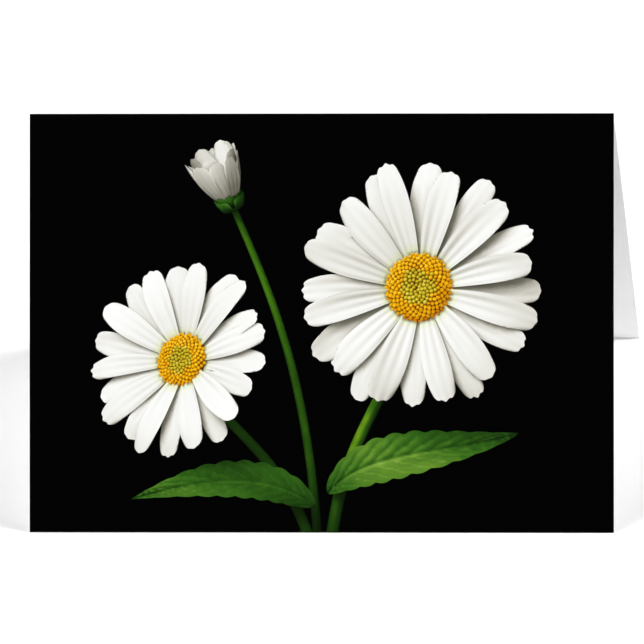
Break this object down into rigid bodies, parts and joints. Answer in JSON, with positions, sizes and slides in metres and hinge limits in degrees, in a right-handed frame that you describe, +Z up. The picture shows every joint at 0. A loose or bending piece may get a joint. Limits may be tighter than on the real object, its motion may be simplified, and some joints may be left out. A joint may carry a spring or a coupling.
{
  "type": "greeting card",
  "caption": "Folded greeting card standing as a tent: printed front leaf and plain back leaf joined by a scored fold along the top.",
  "frame": {"origin": "centre of the card's footprint, on the surface that both leaves stand on", "axes": "+X along the fold, to the right of somebody who looks at the front; +Y from the front leaf to the back leaf; +Z up"},
  "size_m": [0.1778, 0.1228, 0.1113],
  "materials": {
    "printed_board": "full-bleed black print under a satin coating",
    "plain_board": "uncoated bright white card, matte"
  },
  "bodies": {
    "front": {"front_leaf": "printed_board"},
    "back": {"back_leaf": "plain_board"}
  },
  "joints": [
    {"name": "fold", "type": "hinge", "parent": "front", "child": "back", "pos_m": [0, 0, 0.1109], "axis": [1, 0, 0], "range_deg": [-56.6, 122.4]}
  ]
}
